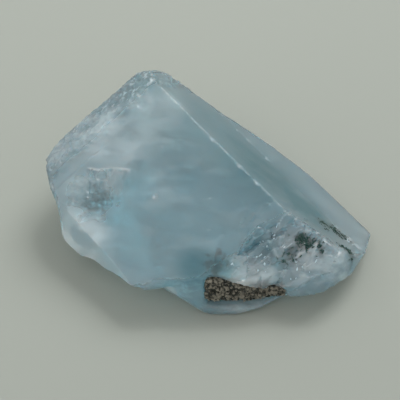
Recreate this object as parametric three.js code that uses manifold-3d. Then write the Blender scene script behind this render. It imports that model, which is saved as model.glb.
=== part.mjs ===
// A rough aquamarine: one broken piece of a hexagonal beryl prism, lying on its side,
// with a crust of brown mica and feldspar in a hollow of its broken front.
// Millimetres, +Z up. The origin is the middle of the underside of the object's box.
import * as THREE from "three";
import { mergeVertices } from "three/addons/utils/BufferGeometryUtils.js";
import Module from "manifold-3d";

const wasm = await Module();
wasm.setup();

// ---- Driving dimensions ----------------------------------------------------------------
// Every place below is in the stone's frame: the floor is z = 0, and its middle is near x = y = 0.

// How the prism lies. The prism's frame has +x along its long c-axis and +z out of the stone.
const BEARING = -46.8; // degrees from +X, seen from above
const DIP = 12.3; // degrees that the broken end lies lower than the grown end
const RIDGE_TOP = new THREE.Vector3(-6.9, 16.4, 26); // the prism frame's origin, on the top ridge
const PRISM_START = -16; // where the uncut prism starts and ends along the c-axis
const PRISM_END = 62;

// The prism's section across the c-axis. Neighbouring beryl faces turn by 60 degrees.
const FACE_TURN = 60;
const MAIN_WIDTH = 32.9; // the broad face on top
const MAIN_TILT = 19.9;
const BEVEL_WIDTH = 7.2; // the next face, on the left flank
const STEEP_WIDTH = 15.6; // the next face, on the right flank
const FLANGE_WIDTH = 8; // a thin ledge along the foot of the right flank
const FLANGE_TILT = 24;
const FLANGE_START = 1.5; // along the c-axis; above it the flank has no ledge
const UNDER_DROP = 20; // the section's lower left side, down to below the floor
const UNDER_ANGLE = -45;
const UNDER_WIDTH = 28; // the section's lowest side

// The hollow in the broken front, its lip above and its ledge below.
const LEDGE_TOP = 2.6;
const ROOF_LEFT = 10; // the hollow's roof slopes down to the right with the lip
const ROOF_RIGHT = 6.3;
const LIP_FRONT = -22.4; // its frontmost line
const HOLLOW_BACK = -18.8;
const HOLLOW_LEFT = 1.0;
const HOLLOW_RIGHT = 17.8;

// The crust in the hollow.
const CRUST_GAP = 0.3; // room between crust and crystal
const CRUST_FRONT = -21.3;
const CRUST_SLOPE = 1.0; // how much further forward its foot is than its top
const CRUST_LUMPS = 0.55; // how far the lumps of its front stand out
const CRUST_PITCH = 2.4; // one lump about every so many millimetres
const CRUST_STEP = 1.1; // mesh size of its front

// Broken faces.
const SPAN = 120; // wider than the stone
const BLOCK_DEPTH = 30; // deeper than what any break takes away
const BREAK_STEP = 2.1; // mesh size of a broken face
const BREAK_PITCH = 9; // the usual width of a shell-shaped scoop
const SCOOP_SINK = 0.3; // share of the relief that a scoop's middle lies below the face
const SCOOP_INSET = 0.15; // how near its cell's edge a scoop's middle may lie, as a share of the pitch

// Where the chance draws of each kind of surface start, so that no two surfaces are alike.
const SEEDS = { grownEnd: 3, breaks: 10, wingRoof: 31, footSide: 32, lip: 33, crust: 41 };

// ---- Helpers ---------------------------------------------------------------------------

const SAME_POINT = 1e-4; // points nearer than this are one
const radians = THREE.MathUtils.degToRad;
const prismToStone = new THREE.Matrix4()
  .makeRotationFromEuler(new THREE.Euler(0, radians(DIP), radians(BEARING), "ZYX"))
  .setPosition(RIDGE_TOP);

// A closed geometry as a solid that can be cut.
function solid(geometry) {
  const bare = geometry.clone();
  bare.deleteAttribute("normal");
  bare.deleteAttribute("uv");
  const merged = mergeVertices(bare, SAME_POINT);
  return new wasm.Manifold(
    new wasm.Mesh({
      numProp: 3,
      vertProperties: new Float32Array(merged.attributes.position.array),
      triVerts: new Uint32Array(merged.index.array),
    }),
  );
}

// A solid as a geometry.
function geometryOf(body) {
  const mesh = body.getMesh();
  const geometry = new THREE.BufferGeometry();
  geometry.setAttribute("position", new THREE.BufferAttribute(mesh.vertProperties, 3));
  geometry.setIndex(new THREE.BufferAttribute(mesh.triVerts, 1));
  return geometry;
}

// A number from 0 to 1 that looks random but is the same each time for the same whole numbers.
function chance(i, j, seed) {
  const s = Math.sin(i * 127.1 + j * 311.7 + seed * 74.7) * 43758.5453;
  return s - Math.floor(s);
}

// Shell-shaped scoops: 0 in the middle of each, rising to about 1 at the sharp crests between them.
function scoops(u, v, pitch, seed) {
  const column = Math.floor(u / pitch);
  const row = Math.floor(v / pitch);
  const middle = (i, j, draw) => SCOOP_INSET + (1 - 2 * SCOOP_INSET) * chance(i, j, draw);
  let nearest = Infinity;
  for (let i = column - 1; i <= column + 1; i++) {
    for (let j = row - 1; j <= row + 1; j++) {
      const du = u / pitch - (i + middle(i, j, seed));
      const dv = v / pitch - (j + middle(i, j, seed + 9));
      nearest = Math.min(nearest, du * du + dv * dv);
    }
  }
  return nearest;
}

// A block to cut away. Its inner face passes through `at`, looks along `facing`, and is scooped
// `relief` deep, with a scoop about every `pitch`. `bite` gives how much deeper it cuts at each x.
function breakBlock(face, seed = 1) {
  const { at, facing, width = SPAN, height = SPAN, relief = 0, pitch = BREAK_PITCH, bite } = face;
  const step = relief > 0 ? BREAK_STEP : SPAN;
  const across = Math.ceil(width / step);
  const up = Math.ceil(height / step);
  const block = new THREE.BoxGeometry(width, height, BLOCK_DEPTH, across, up, 1);
  block.translate(0, 0, BLOCK_DEPTH / 2);
  const points = block.attributes.position;
  for (let i = 0; i < points.count; i++) {
    if (points.getZ(i) < BLOCK_DEPTH / 2) {
      const rise = scoops(points.getX(i), points.getY(i), pitch, seed) - SCOOP_SINK;
      const deeper = bite ? bite(points.getX(i) + at[0]) : 0;
      points.setZ(i, relief * rise - deeper);
    }
  }
  const outward = new THREE.Vector3(...facing).normalize();
  block.applyQuaternion(new THREE.Quaternion().setFromUnitVectors(new THREE.Vector3(0, 0, 1), outward));
  block.translate(...at);
  return block;
}

// ---- The crystal -----------------------------------------------------------------------

// The uncut prism, in its own frame, with all its faces parallel to the c-axis.
function uncutPrism() {
  const section = new THREE.Shape();
  const pen = new THREE.Vector2(0, 0);
  const side = (length, angle) => {
    pen.x += length * Math.cos(radians(angle));
    pen.y += length * Math.sin(radians(angle));
    section.lineTo(pen.x, pen.y);
  };
  section.moveTo(0, 0);
  side(MAIN_WIDTH, 180 + MAIN_TILT);
  side(BEVEL_WIDTH, 180 + MAIN_TILT + FACE_TURN);
  side(UNDER_DROP, UNDER_ANGLE);
  side(UNDER_WIDTH, 0);
  const steepTilt = radians(FACE_TURN - MAIN_TILT);
  pen.set(STEEP_WIDTH * Math.cos(steepTilt), -STEEP_WIDTH * Math.sin(steepTilt));
  const steepFoot = pen.clone();
  side(FLANGE_WIDTH, -FLANGE_TILT);
  section.lineTo(steepFoot.x, steepFoot.y);
  section.closePath();
  const length = PRISM_END - PRISM_START;
  const prism = new THREE.ExtrudeGeometry(section, { depth: length, bevelEnabled: false });
  // The section's x and y become the prism frame's y and z, and its depth runs along the c-axis.
  const turn = new THREE.Matrix4();
  turn.makeBasis(new THREE.Vector3(0, 1, 0), new THREE.Vector3(0, 0, 1), new THREE.Vector3(1, 0, 0));
  prism.applyMatrix4(turn);
  prism.translate(PRISM_START, 0, 0);
  return prism;
}

// Faces at the grown end of the prism, in the prism's frame.
const FLANK_CUT = 22; // how far along the c-axis the flank is cut back, up to the flange
const GROWN_END = {
  termination: { at: [-4.6, 0, 0], facing: [-0.574, -0.279, 0.77], relief: 0.7, pitch: 5 },
  end: { at: [-10.5, 0, 0], facing: [-1, 0, 0.05], relief: 0.8, pitch: 6 },
  flank: {
    at: [FLANGE_START - FLANK_CUT / 2, 11.3, -10],
    facing: [0, 1, -0.5],
    width: FLANK_CUT,
    relief: 0.6,
    pitch: 6,
  },
};

// Broken faces, in the stone's frame.
const BREAKS = {
  apex: { at: [-9.5, 26.1, 23.7], facing: [-0.05, 0.72, 0.69], relief: 0.5, pitch: 6 },
  apexCorner: { at: [-4.6, 26.6, 20], facing: [0.53, 0.7, 0.4], relief: 0.5, pitch: 6 },
  flangeEdge: { at: [9.2, 21.8, 12], facing: [0.5, 0.82, -0.25], relief: 0.9, pitch: 8 },
  frontSlope: { at: [16.9, -10.1, 18], facing: [0.157, -0.651, 0.743], relief: 1.4, pitch: 8 },
  front: { at: [8, -23.5, 0], facing: [0, -1, 0.15], relief: 0.7, pitch: 7 },
  rightTip: { at: [37.7, -6, 6], facing: [1, 0, 0.1], relief: 0.8, pitch: 6 },
  rightCorner: { at: [36.1, -10, 5.2], facing: [0.83, -0.43, -0.36], relief: 0.5, pitch: 6 },
  rightFront: { at: [32, -14, 7], facing: [0.62, -0.7, 0.35], relief: 1, pitch: 6 },
  rightUnder: { at: [18, -17.5, 0], facing: [0.392, -0.641, -0.66], relief: 1, pitch: 8 },
  under: { at: [19.5, -16, 0], facing: [0.108, 0.016, -0.994], relief: 1, pitch: 9 },
  leftUnder: { at: [-5, -18.5, -0.2], facing: [-0.307, -0.133, -0.942], relief: 1, pitch: 9 },
  leftChip: { at: [-31.6, 0, 13], facing: [-0.95, -0.29, -0.127], relief: 0.8, pitch: 8 },
  backUnder: { at: [14, 10, 0], facing: [0.234, 0.703, -0.672], relief: 1, pitch: 9 },
  backLeft: { at: [-14, 12, 0], facing: [-0.6, 0.45, -0.66], relief: 1, pitch: 9 },
  floor: { at: [0, 0, 0], facing: [0, 0, -1] },
};

// Two faces that meet in a hollow corner: the roof over the left front, and the foot's side.
const WING_ROOF = { at: [-24, -12.5, 5.4], facing: [-0.04, -0.386, -1], relief: 1, pitch: 8 };
const FOOT_SIDE = { at: [0.9, -23.3, 1], facing: [-0.585, -0.812, -0.47], relief: 0.6, pitch: 6 };

// A shell-shaped notch in the front edge, left of the foot.
const NOTCH = { at: [-8.4, -24.8, 10.4], radius: 3.6, detail: 6 };

// How far the lip stands back from its frontmost line, at a few places along it.
const LIP_SCALLOPS = [
  [1, 1.1],
  [2.4, 1.8],
  [5.2, 1.3],
  [8, 0.5],
  [12.6, 0.1],
  [15.6, 1.9],
  [18.5, 0.2],
];
function lipScallop(x) {
  const next = LIP_SCALLOPS.findIndex(([place]) => place > x);
  if (next < 1) return 0;
  const [x0, back0] = LIP_SCALLOPS[next - 1];
  const [x1, back1] = LIP_SCALLOPS[next];
  return THREE.MathUtils.lerp(back0, back1, THREE.MathUtils.smoothstep(x, x0, x1));
}

// The block above the ledge, in front of the lip.
const LIP_WIDTH = 40;
const LIP_HEIGHT = 30;
const LIP = {
  at: [HOLLOW_LEFT + LIP_WIDTH / 2, LIP_FRONT, LEDGE_TOP + LIP_HEIGHT / 2],
  facing: [0, -1, 0],
  width: LIP_WIDTH,
  height: LIP_HEIGHT,
  relief: 0.5,
  pitch: 5,
  bite: lipScallop,
};

// A block as wide as the hollow less a gap at each end, with its back at `back`, its front at
// `front` and its top under the hollow's sloping roof.
const HOLLOW_WIDTH = HOLLOW_RIGHT - HOLLOW_LEFT;
function hollowBlock({ back, front, gap, across = 1, up = 1 }) {
  const block = new THREE.BoxGeometry(HOLLOW_WIDTH - 2 * gap, back - front, 1, across, 1, up);
  block.translate(HOLLOW_WIDTH / 2, (back + front) / 2, 0.5);
  const points = block.attributes.position;
  for (let i = 0; i < points.count; i++) {
    const along = points.getX(i) / HOLLOW_WIDTH;
    const roof = THREE.MathUtils.lerp(ROOF_LEFT, ROOF_RIGHT, along) - gap;
    points.setZ(i, THREE.MathUtils.lerp(LEDGE_TOP + gap, roof, points.getZ(i)));
  }
  return block.translate(HOLLOW_LEFT, 0, 0);
}

function crystalGeometry() {
  let crystal = solid(uncutPrism().applyMatrix4(prismToStone));
  Object.values(GROWN_END).forEach((face, i) => {
    crystal = crystal.subtract(solid(breakBlock(face, SEEDS.grownEnd + i).applyMatrix4(prismToStone)));
  });
  Object.values(BREAKS).forEach((face, i) => {
    crystal = crystal.subtract(solid(breakBlock(face, SEEDS.breaks + i)));
  });
  const wingRoof = solid(breakBlock(WING_ROOF, SEEDS.wingRoof));
  const underWing = wingRoof.intersect(solid(breakBlock(FOOT_SIDE, SEEDS.footSide)));
  const notch = new THREE.IcosahedronGeometry(NOTCH.radius, NOTCH.detail).translate(...NOTCH.at);
  return geometryOf(
    crystal
      .subtract(underWing)
      .subtract(solid(notch))
      .subtract(solid(breakBlock(LIP, SEEDS.lip)))
      .subtract(solid(hollowBlock({ back: HOLLOW_BACK, front: -SPAN / 2, gap: 0 }))),
  );
}

// ---- The crust -------------------------------------------------------------------------

// A slab that fills the hollow but for the gap, with a lumpy front that leans forward to its foot.
// Its right end is broken off with the ledge.
function crustGeometry() {
  const slab = hollowBlock({
    back: HOLLOW_BACK - CRUST_GAP,
    front: CRUST_FRONT,
    gap: CRUST_GAP,
    across: Math.ceil(HOLLOW_WIDTH / CRUST_STEP),
    up: Math.ceil((ROOF_LEFT - LEDGE_TOP) / CRUST_STEP),
  });
  const points = slab.attributes.position;
  for (let i = 0; i < points.count; i++) {
    if (points.getY(i) < CRUST_FRONT + CRUST_GAP) {
      const towardsFoot = 1 - (points.getZ(i) - LEDGE_TOP) / (ROOF_LEFT - LEDGE_TOP);
      const lump = scoops(points.getX(i), points.getZ(i), CRUST_PITCH, SEEDS.crust) - SCOOP_SINK;
      points.setY(i, points.getY(i) - CRUST_SLOPE * towardsFoot + CRUST_LUMPS * lump);
    }
  }
  return geometryOf(solid(slab).subtract(solid(breakBlock({ ...BREAKS.rightUnder, relief: 0 }))));
}

// ---- The object ------------------------------------------------------------------------

const beryl = new THREE.MeshStandardMaterial({ color: 0x7a9aa4, roughness: 0.3, metalness: 0 });
const micaCrust = new THREE.MeshStandardMaterial({ color: 0x4a443a, roughness: 0.85, metalness: 0 });

function piece(name, geometry, material) {
  const mesh = new THREE.Mesh(geometry, material);
  mesh.name = name;
  return mesh;
}

const group = new THREE.Group();
group.add(piece("aquamarine_crystal", crystalGeometry(), beryl));
group.add(piece("matrix_crust", crustGeometry(), micaCrust));

// Put the origin under the middle of the whole object's box.
const middle = new THREE.Box3().setFromObject(group).getCenter(new THREE.Vector3());
group.position.set(-middle.x, -middle.y, 0);
export default group;
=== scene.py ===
# %% [markdown]
# # A rough aquamarine
#
# This lesson dresses one packed stone: a broken piece of a hexagonal beryl prism that lies on its side.
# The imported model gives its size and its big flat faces. Everything finer than about two millimetres is
# made here: the worn ridge, the pitted growth end, the shell-shaped breaks, what is sealed inside the
# crystal, and the crust of mica and feldspar in the hollow of its front.

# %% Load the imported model
import math
from itertools import combinations

import bmesh
import bpy
import numpy as np
from mathutils import Matrix, Vector, noise
from mathutils.bvhtree import BVHTree


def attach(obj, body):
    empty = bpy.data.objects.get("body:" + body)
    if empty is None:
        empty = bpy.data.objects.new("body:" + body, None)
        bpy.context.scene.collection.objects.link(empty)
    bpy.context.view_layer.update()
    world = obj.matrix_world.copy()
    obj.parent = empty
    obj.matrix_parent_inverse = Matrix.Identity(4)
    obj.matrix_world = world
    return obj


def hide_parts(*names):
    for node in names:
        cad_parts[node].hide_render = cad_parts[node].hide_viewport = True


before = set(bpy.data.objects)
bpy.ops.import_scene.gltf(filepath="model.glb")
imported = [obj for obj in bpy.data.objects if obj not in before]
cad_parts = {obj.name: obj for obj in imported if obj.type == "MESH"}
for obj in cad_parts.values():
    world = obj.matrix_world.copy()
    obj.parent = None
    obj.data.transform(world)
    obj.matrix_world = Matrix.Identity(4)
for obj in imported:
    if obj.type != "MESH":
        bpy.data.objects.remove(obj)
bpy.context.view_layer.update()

MM = 0.001  # one millimetre in Blender's metres

# %% [markdown]
# ## Where the camera stands
#
# The stone is seen from in front and well above, from about three times its own length away. A long lens
# keeps the prism's parallel edges nearly parallel.

# %% Camera
VIEW_CENTRE = Vector((-1.96, -4.58, 10.0)) * MM  # in the lower middle of the stone
VIEW_DISTANCE = 205 * MM
VIEW_HEIGHT = math.radians(50)  # the camera's angle above the table
lens = bpy.data.cameras.new("camera")
lens.lens = 85
lens.sensor_width = 36
camera = bpy.data.objects.new("camera", lens)
camera.location = VIEW_CENTRE + VIEW_DISTANCE * Vector((0, -math.cos(VIEW_HEIGHT), math.sin(VIEW_HEIGHT)))
camera.rotation_euler = (math.pi / 2 - VIEW_HEIGHT, 0, 0)
bpy.context.scene.collection.objects.link(camera)
bpy.context.scene.camera = camera
print("camera at, mm:", [round(x / MM) for x in camera.location])

# %% [markdown]
# ## The prism's own directions
#
# A beryl prism has flat growth faces, all parallel to one line, the c-axis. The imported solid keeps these
# faces flat, so they can be found again by adding up the area of the triangles that lie in one plane. The
# two largest tilted ones are the broad face on top and the steep face beside it, and the line where they
# meet is the ridge, which runs along the c-axis.

# %% Find the flat growth faces
crystal_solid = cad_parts["aquamarine_crystal"]


def flat_faces(obj):
    """The flat faces of a solid, largest first: (area, outward normal, a point on it)."""
    found = {}
    for p in obj.data.polygons:
        key = (*[round(x, 2) for x in p.normal], round(p.normal.dot(p.center) / (0.1 * MM)))
        area, _, _ = found.get(key, (0, None, None))
        found[key] = (area + p.area, p.normal.copy(), p.center.copy())
    return sorted(found.values(), key=lambda face: -face[0])


tilted = [face for face in flat_faces(crystal_solid) if abs(face[1].z) < 0.99][:4]
main_face, steep_face = tilted[0], tilted[1]
for area, normal, _ in tilted:
    print(f"growth face: {area / MM**2:.0f} mm2, normal", [round(x, 3) for x in normal])

# %% The prism's frame
ridge_top = max((v.co for v in crystal_solid.data.vertices), key=lambda co: co.z).copy()
axis = main_face[1].cross(steep_face[1]).normalized()
axis = axis if axis.x > 0 else -axis  # towards the broken end
down_main = axis.cross(main_face[1]).normalized()
down_main = down_main if down_main.z < 0 else -down_main  # down the broad face, away from the ridge


def under_main(along, down, depth):
    """The point `depth` mm under the broad face, `along` and `down` mm from the ridge's top."""
    return ridge_top + (axis * along + down_main * down - main_face[1] * depth) * MM


print("c-axis", [round(x, 3) for x in axis], "ridge top, mm", [round(x / MM, 1) for x in ridge_top])

# %% [markdown]
# ## The crystal's skin
#
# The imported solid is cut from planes, with triangles two millimetres wide on its breaks. A voxel remesh
# turns it into an even net that is fine enough to carve. Points on the growth faces are put back exactly
# on their planes, the breaks are relaxed until their triangles no longer show, and then each kind of
# surface gets its own relief.

# %% Remesh a copy of the solid
VOXEL = 0.34  # mm between the points of the net


def new_object(name, mesh):
    obj = bpy.data.objects.new(name, mesh)
    bpy.context.scene.collection.objects.link(obj)
    return obj


def baked(obj, name):
    """A plain mesh object from what the modifiers of obj make, in place of obj."""
    bpy.context.view_layer.update()
    evaluated = obj.evaluated_get(bpy.context.evaluated_depsgraph_get())
    made = new_object(name, bpy.data.meshes.new_from_object(evaluated))
    bpy.data.objects.remove(obj)
    return made


def remeshed(solid, name, voxel, grow=0.0):
    """An even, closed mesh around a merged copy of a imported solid, grown by `grow` mm."""
    net = bmesh.new()
    net.from_mesh(solid.data)
    bmesh.ops.remove_doubles(net, verts=net.verts, dist=0.001 * MM)
    net.normal_update()
    if grow:
        for v in net.verts:
            v.co += v.normal * grow * MM
    mesh = bpy.data.meshes.new(name)
    net.to_mesh(mesh)
    net.free()
    rough = new_object(name + "_rough", mesh)
    remesh = rough.modifiers.new("even net", "REMESH")
    remesh.mode = "VOXEL"
    remesh.voxel_size = voxel * MM
    return baked(rough, name)


crystal = remeshed(crystal_solid, "crystal", VOXEL)
print("crystal:", len(crystal.data.polygons), "faces")

# %% [markdown]
# Python is slow when it takes tens of thousands of points one by one, so they are read into an array and
# worked on together wherever that can be done. Two tools are used again and again on such arrays: the
# mean over a point's neighbours, which smooths, and a soft ramp, which says how much of a thing there is.

# %% Read, smooth and write a mesh's points as an array
def points_of(mesh):
    co = np.empty(len(mesh.vertices) * 3)
    mesh.vertices.foreach_get("co", co)
    return co.reshape(-1, 3)


def normals_of(mesh):
    n = np.empty(len(mesh.vertices) * 3)
    mesh.vertices.foreach_get("normal", n)
    return n.reshape(-1, 3)


def set_points(mesh, co):
    mesh.vertices.foreach_set("co", co.ravel())
    mesh.update()


def neighbour_means(mesh):
    """A function that gives each point the mean of a value over the points that an edge joins it to."""
    edges = np.empty(len(mesh.edges) * 2, np.int64)
    mesh.edges.foreach_get("vertices", edges)
    a, b = edges.reshape(-1, 2).T
    degree = np.bincount(edges, minlength=len(mesh.vertices))

    def mean(values):
        columns = values.reshape(len(values), -1)
        sums = [np.bincount(a, v[b], len(v)) + np.bincount(b, v[a], len(v)) for v in columns.T]
        return (np.array(sums) / degree).T.reshape(values.shape)

    return mean


def ramp(x, low, high):
    """0 below low, 1 above high, and a smooth climb between them. low may be above high."""
    t = np.clip((x - low) / (high - low), 0, 1)
    return t * t * (3 - 2 * t)


mean_of = neighbour_means(crystal.data)
print("points:", len(crystal.data.vertices), "edges:", len(crystal.data.edges))

# %% [markdown]
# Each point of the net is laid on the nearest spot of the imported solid. If that spot is on one of the
# four growth faces, the point is pinned there. The others are on the etched end, which is the end of the
# prism with the small `along`, or on a break.

# %% Sort the points into growth faces, the etched end and breaks
def flat_face_under(co):
    """For each point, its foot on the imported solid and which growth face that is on, or -1."""
    tree = BVHTree.FromObject(crystal_solid, bpy.context.evaluated_depsgraph_get())
    feet = np.empty_like(co)
    faces = np.full(len(co), -1)
    for i, p in enumerate(co):
        foot, normal, _, _ = tree.find_nearest(Vector(p))
        feet[i] = foot
        for k, (_, face_normal, face_point) in enumerate(tilted):
            if normal.dot(face_normal) > 0.9999 and abs((foot - face_point).dot(face_normal)) < 0.02 * MM:
                faces[i] = k
    return feet, faces


def places_in_stone(co):
    """Each point's mm along the c-axis, down the broad face and under its plane."""
    away = (co - np.array(ridge_top)) / MM
    return away @ np.array(axis), away @ np.array(down_main), -away @ np.array(main_face[1])


co = points_of(crystal.data)
feet, face_number = flat_face_under(co)
co[:] = feet
grown = (face_number >= 0).astype(float)
for _ in range(3):
    grown = mean_of(grown)
along, down, under = places_in_stone(co)
etched = (1 - grown) * ramp(along, 6, 2)
broken = (1 - grown) * (1 - etched)
for name, share in (("growth faces", grown), ("etched end", etched), ("breaks", broken)):
    print(f"{name}: {share.mean():.0%} of the points")

# %% [markdown]
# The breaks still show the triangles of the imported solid. Moving each point most of the way to the middle
# of its neighbours, many times, melts them away. It would round the growth faces' edges too, so their
# points stay where they are.

# %% Relax everything but the growth faces
RELAX_ROUNDS, RELAX_STEP = 24, 0.9
for _ in range(RELAX_ROUNDS):
    co += (mean_of(co) - co) * (1 - grown)[:, None] * RELAX_STEP
set_points(crystal.data, co)
normal = normals_of(crystal.data)
print("moved, at most:", round(np.linalg.norm(co - feet, axis=1).max() / MM, 2), "mm")

# %% [markdown]
# ## Tools for carving
#
# Beryl has no good cleavage, so it breaks like glass, in shells a few millimetres wide with sharp crests
# between them. Worley noise gives such shells: the distance to the nearest seed, set against the distance
# to the second. Where the break ran fast it leaves hackles, narrow ridges that all point the way the
# crack went.

# %% Noise in millimetres
def stretched(points, direction, factor):
    """The points squeezed along one direction, which draws a pattern on them out that way."""
    d = np.array(direction)
    return points - np.outer(points @ d, d) * (1 - 1 / factor)


def in_noise(points, size, seed):
    """The points in the noise's own space, where `size` mm is 1, each seed in a part of it of its own."""
    shift = Vector((seed * 17.3, seed * 5.1, seed * 9.7))
    scale = 1 / (size * MM)
    return [Vector(p) * scale + shift for p in points]


def noise_at(points, size, seed=0, octaves=1):
    """Smooth noise from about -1 to 1 at each point, with lumps `size` mm across."""
    places = in_noise(points, size, seed)
    if octaves == 1:
        return np.array([noise.noise(place) for place in places])
    return np.array([noise.fractal(place, 0.9, 2.1, octaves) for place in places])


def shells_at(points, size, seed=0):
    """0 in the middle of a shell-shaped scoop, climbing to 1 on the sharp crests between scoops."""
    out = np.empty(len(points))
    for i, place in enumerate(in_noise(points, size, seed)):
        near, second = noise.voronoi(place)[0][:2]
        out[i] = (1 - min(second - near, 1)) ** 2
    return out


def facets_at(points, size, seed=0):
    """Flat facets `size` mm wide, each tilted its own way, with steps between them: about -1 to 1."""
    out = np.empty(len(points))
    for i, place in enumerate(in_noise(points, size, seed)):
        middle = noise.voronoi(place)[1][0]
        out[i] = (place - middle).dot(noise.noise_vector(middle * 3.7)) * 2
    return out


print("noise at the ridge's top:", round(noise_at([ridge_top], 4)[0], 2))

# %% [markdown]
# Some things are only found near one place in the stone. A soft ball says where: it is 1 around its
# middle and falls to 0 at its radius.

# %% A soft ball
def cloud(at_along, at_down, at_under, radius):
    """1 near a place in the stone, given in mm, falling softly to 0 at `radius` mm from it."""
    away = np.sqrt((along - at_along) ** 2 + (down - at_down) ** 2 + (under - at_under) ** 2)
    return ramp(away, radius, radius * 0.2)


print("points within 5 mm of the ridge's top:", int((cloud(0, 0, 0, 5) > 0).sum()))

# %% [markdown]
# ## The breaks
#
# One blow broke the end with the large `along`, and shattered it into facets that lie like the steps of a
# staircase, with white bruises on their crests and a painted highlight, white in the colour, on a group of
# facets near the tip. The other breaks only have shells and faint hackles. All of this is relief in
# millimetres, added up for each point and applied along its normal at the end. A displacement node in the
# material would be lost in an exported mesh, so the relief is made in the mesh itself.

# %% Carve the breaks
SHELL, HACKLE, FACET = 6.5, 2.3, 4.2  # mm: widths of the shells, hackles and facets
FINE_FACET = 0.4 * FACET
SHELL_DEPTH, HACKLE_DEPTH, FACET_DEPTH, FINE_FACET_DEPTH = 0.9, 0.4, 0.8, 0.5  # mm
SHATTERED = (48, 7, 3, 17)  # mm along, down and under, and the radius that the last blow shattered
SHATTERED_DEPTH = (9, 5)  # mm under the broad face where the shattering ends, and where it is full
SWELL = (55, 1.2, 7.5, 11)  # mm along, down and under, and the radius of the rounded lobe beside the tip
SWELL_HEIGHT = 2.1  # mm
# Painted highlight: the place where the shattered facets are whitened most, as if lit.
FACET_HIGHLIGHT = (50, 4.5, 5, 7)  # where the shattered facets are whitest
CREST = (0.8, 0.97)  # on the scale of shells_at, where a facet's bruised crest starts, and where it is full
FACET_SEED = 2

noise.seed_set(FACET_SEED)  # noise_vector tilts the facets, and follows the clock until it is given a seed
shattered = ramp(cloud(*SHATTERED), 0, 0.5) * ramp(under, *SHATTERED_DEPTH) * (1 - 0.6 * cloud(*SWELL))
drawn_out = stretched(co, down_main, 2.2)
facets, fine_facets = facets_at(drawn_out, FACET, 11), facets_at(drawn_out, FINE_FACET, 12)

relief = broken * (0.3 + 0.2 * shattered) * (SHELL_DEPTH * shells_at(co, SHELL, 1) - 0.35)
relief += broken * (0.15 + 0.35 * shattered) * (HACKLE_DEPTH * shells_at(drawn_out, HACKLE, 2) - 0.15)
relief += broken * shattered * (FACET_DEPTH * facets + FINE_FACET_DEPTH * fine_facets)
relief += broken * (0.02 * noise_at(co, 1.1, 3, 3) + SWELL_HEIGHT * cloud(*SWELL))

steps = ramp(shells_at(drawn_out, FACET, 11), *CREST) + ramp(shells_at(drawn_out, FINE_FACET, 12), *CREST)
crests = broken * shattered * np.minimum(steps, 1) * 0.7
# Painted highlight: some facets near the tip are whitened in the colour as if they caught the light.
facet_highlight = broken * shattered * cloud(*FACET_HIGHLIGHT) * ramp(fine_facets, -0.2, 0.5)
print("breaks, mm:", round(relief.min(), 2), "to", round(relief.max(), 2))

# %% [markdown]
# The blow also flaked the broad face beside the break. These flakes end in a ragged front, so a noise drawn
# out down the face picks where they are. They get fewer with the distance from the broken end.

# %% Flake the broad face beside the break
SPILL_DEPTH = 0.45  # mm
SPILL_ALONG = (44, 38)  # mm along the c-axis where the flakes start to get fewer, and where they are fewest
ragged = noise_at(stretched(co, down_main, 3.0), 2.5, 17) - 0.15 * ramp(along, *SPILL_ALONG)
spill = grown * shattered * ramp(ragged, 0, 0.3)
relief += spill * SPILL_DEPTH * (fine_facets - 0.5)
print("flaked points on the growth faces:", int((spill > 0.5).sum()))

# %% [markdown]
# ## The etched end
#
# The end with the small `along` is the crystal's own grown end. Acid water etched it afterwards into close
# pits, about a millimetre and a half wide and drawn out down the slope, with frosted crests between them.
# A few pits run on over the edge, onto the growth faces.

# %% Etch the grown end
ETCH = 1.5  # mm, the width of an etch pit
ETCH_DEPTH, FRINGE_DEPTH = 0.55, 0.4  # mm
FRINGE = (2.8, 1.2)  # mm along the c-axis where the pits over the edge end, and where they are full
pits = shells_at(stretched(co, down_main, 1.7), ETCH, 5)
fringe = grown * ramp(along + 2.4 * noise_at(co, 3, 13), *FRINGE)
relief += etched * (ETCH_DEPTH * pits - 0.25 + 0.14 * noise_at(co, 0.8, 4, 2))
relief += fringe * FRINGE_DEPTH * (pits - 1)
crests += etched * ramp(shells_at(co, ETCH, 5), 0.6, 0.95)
crests *= ramp(noise_at(co, 1.5, 16), -0.1, 0.3)
print("frosted crests:", f"{(crests > 0.3).mean():.1%} of the points")

# %% [markdown]
# ## The growth faces
#
# The growth faces are nearly flat, but not new. Low growth hills and a few pits catch the light, and
# there is a step a third of a millimetre high beside the etched end. Near it, a patch of the broad face
# is pitted all over. Its outline is a circle roughened by noise, because a plain circle would look
# stamped. The pits also get a painted glint: they are whitened in the colour.

# %% Growth hills, pits, an etched patch and a step
PITS = [  # mm along, mm down, radius and depth
    (19.7, 17.3, 0.7, 0.4),
    (28.1, 9.4, 0.35, 0.2),
    (0.6, 8.2, 0.45, 0.2),
    (-1.6, 7.0, 0.4, 0.2),
    (24.5, 21.0, 0.3, 0.15),
    (12.5, 9.0, 0.4, 0.15),
    (33.0, 14.0, 0.3, 0.15),
]
ETCHED_PATCH = (10.0, 27.0, 8.0)  # mm along, mm down, radius
STEP_AT, STEP_HEIGHT = 3.4, 0.35  # mm along, and mm
STEP_DOWN = (13, 19)  # mm down the broad face where the step starts, and where it is full
ON_BROAD_FACE = under < 1.5


def soft_spot(at_along, at_down, radius):
    """1 in the middle of a round spot on the broad face, and 0 beyond its radius."""
    away = np.hypot(along - at_along, down - at_down)
    return ramp(away, radius, 0) * ON_BROAD_FACE


patch = soft_spot(*ETCHED_PATCH)
patch = grown * ramp(patch + 0.5 * noise_at(co, 2.5, 19, 2), 0.2, 0.6) * ramp(patch, 0, 0.15)
relief += grown * 0.025 * noise_at(co, 4, 6) + patch * 0.3 * (shells_at(co, 1.4, 7) - 0.6)
step = ramp(along + 0.3 * noise_at(co, 3, 18), STEP_AT + 0.3, STEP_AT)
step *= ramp(down, *STEP_DOWN) * ON_BROAD_FACE
relief -= grown * STEP_HEIGHT * step
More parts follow.
